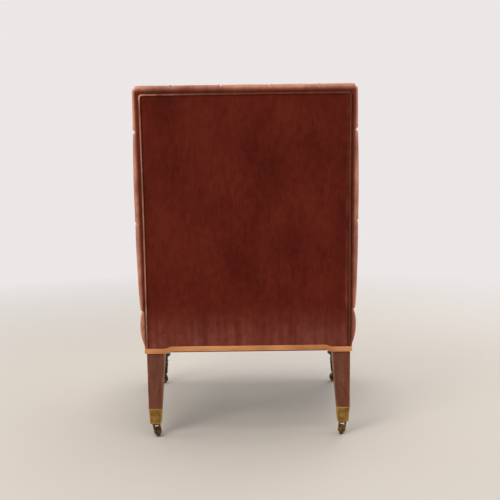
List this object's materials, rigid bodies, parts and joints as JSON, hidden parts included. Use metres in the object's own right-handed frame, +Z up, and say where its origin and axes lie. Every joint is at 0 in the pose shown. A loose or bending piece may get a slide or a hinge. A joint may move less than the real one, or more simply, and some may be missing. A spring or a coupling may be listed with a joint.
{
  "type": "slipper chair",
  "caption": "Low armless chair with a sprung seat, a raked deep buttoned back piped round a plain outside panel, tapered and turned legs, and brass castors.",
  "frame": {"origin": "on the floor under the middle of the chair's box", "axes": "+X towards the sitter's left, +Y towards the back of the chair, +Z up"},
  "size_m": [0.56, 0.6084, 0.845],
  "materials": {
    "mahogany": "french polished mahogany, worn",
    "turned_wood": "dark stained and polished turned wood",
    "beech": "planed beech, unfinished",
    "dowel_wood": "plain beech dowel",
    "velvet": "cotton velvet, deep buttoned, worn paler on the crowns",
    "velvet_panel": "cotton velvet, flat, brushed downwards",
    "velvet_piping": "velvet piping, pile worn pale",
    "gimp": "woven gimp braid, gold to orange",
    "hessian": "jute hessian",
    "webbing": "jute webbing with woven stripes",
    "hair": "curled hair stuffing under scrim",
    "canvas": "black bottom canvas",
    "twine": "waxed flax twine",
    "spring_steel": "coppered spring wire, dulled",
    "tack_steel": "blued steel",
    "brass": "aged cast brass",
    "castor_brass": "dark tarnished cast brass",
    "axle_steel": "steel pin, oiled and dark"
  },
  "bodies": {
    "chair": {"rear_leg_left": "mahogany", "rear_leg_right": "mahogany", "front_leg_left": "turned_wood", "front_leg_right": "turned_wood", "front_rail": "beech", "back_rail": "beech", "side_rail_left": "beech", "side_rail_right": "beech", "corner_braces": "beech", "frame_dowels": "dowel_wood", "back_top_rail": "beech", "back_lower_rail": "beech", "seat_webbing": "webbing", "webbing_tacks": "tack_steel", "seat_springs": "spring_steel", "spring_hessian": "hessian", "seat_stuffing": "hair", "seat_cover": "velvet", "bottom_canvas": "canvas", "back_webbing": "webbing", "back_hessian": "hessian", "back_stuffing": "hair", "back_cover": "velvet", "back_buttons": "velvet", "button_twines": "twine", "outside_back": "velvet_panel", "back_piping": "velvet_piping", "gimp_braid": "gimp", "castor_cup_rear_left": "brass", "castor_cup_rear_right": "brass", "castor_cup_front_left": "brass", "castor_cup_front_right": "brass", "castor_screws": "brass"},
    "horn_rear_left": {"castor_horn_rear_left": "castor_brass", "castor_axle_rear_left": "axle_steel"},
    "wheel_rear_left": {"castor_wheel_rear_left": "castor_brass"},
    "horn_rear_right": {"castor_horn_rear_right": "castor_brass", "castor_axle_rear_right": "axle_steel"},
    "wheel_rear_right": {"castor_wheel_rear_right": "castor_brass"},
    "horn_front_left": {"castor_horn_front_left": "castor_brass", "castor_axle_front_left": "axle_steel"},
    "wheel_front_left": {"castor_wheel_front_left": "castor_brass"},
    "horn_front_right": {"castor_horn_front_right": "castor_brass", "castor_axle_front_right": "axle_steel"},
    "wheel_front_right": {"castor_wheel_front_right": "castor_brass"}
  },
  "joints": [
    {"name": "castor_swivel_rear_left", "type": "hinge", "parent": "chair", "child": "horn_rear_left", "pos_m": [0.2275, 0.21235, 0.032], "axis": [0, 0, 1], "continuous": true},
    {"name": "wheel_spin_rear_left", "type": "hinge", "parent": "horn_rear_left", "child": "wheel_rear_left", "pos_m": [0.22312, 0.22134, 0.012], "axis": [-0.8988, -0.4384, 0], "continuous": true},
    {"name": "castor_swivel_rear_right", "type": "hinge", "parent": "chair", "child": "horn_rear_right", "pos_m": [-0.2275, 0.21235, 0.032], "axis": [0, 0, 1], "continuous": true},
    {"name": "wheel_spin_rear_right", "type": "hinge", "parent": "horn_rear_right", "child": "wheel_rear_right", "pos_m": [-0.22408, 0.22175, 0.012], "axis": [-0.9397, 0.342, 0], "continuous": true},
    {"name": "castor_swivel_front_left", "type": "hinge", "parent": "chair", "child": "horn_front_left", "pos_m": [0.247, -0.26965, 0.032], "axis": [0, 0, 1], "continuous": true},
    {"name": "wheel_spin_front_left", "type": "hinge", "parent": "horn_front_left", "child": "wheel_front_left", "pos_m": [0.24358, -0.27905, 0.012], "axis": [0.9397, -0.342, 0], "continuous": true},
    {"name": "castor_swivel_front_right", "type": "hinge", "parent": "chair", "child": "horn_front_right", "pos_m": [-0.247, -0.26965, 0.032], "axis": [0, 0, 1], "continuous": true},
    {"name": "wheel_spin_front_right", "type": "hinge", "parent": "horn_front_right", "child": "wheel_front_right", "pos_m": [-0.24098, -0.27764, 0.012], "axis": [0.7986, 0.6018, 0], "continuous": true}
  ]
}
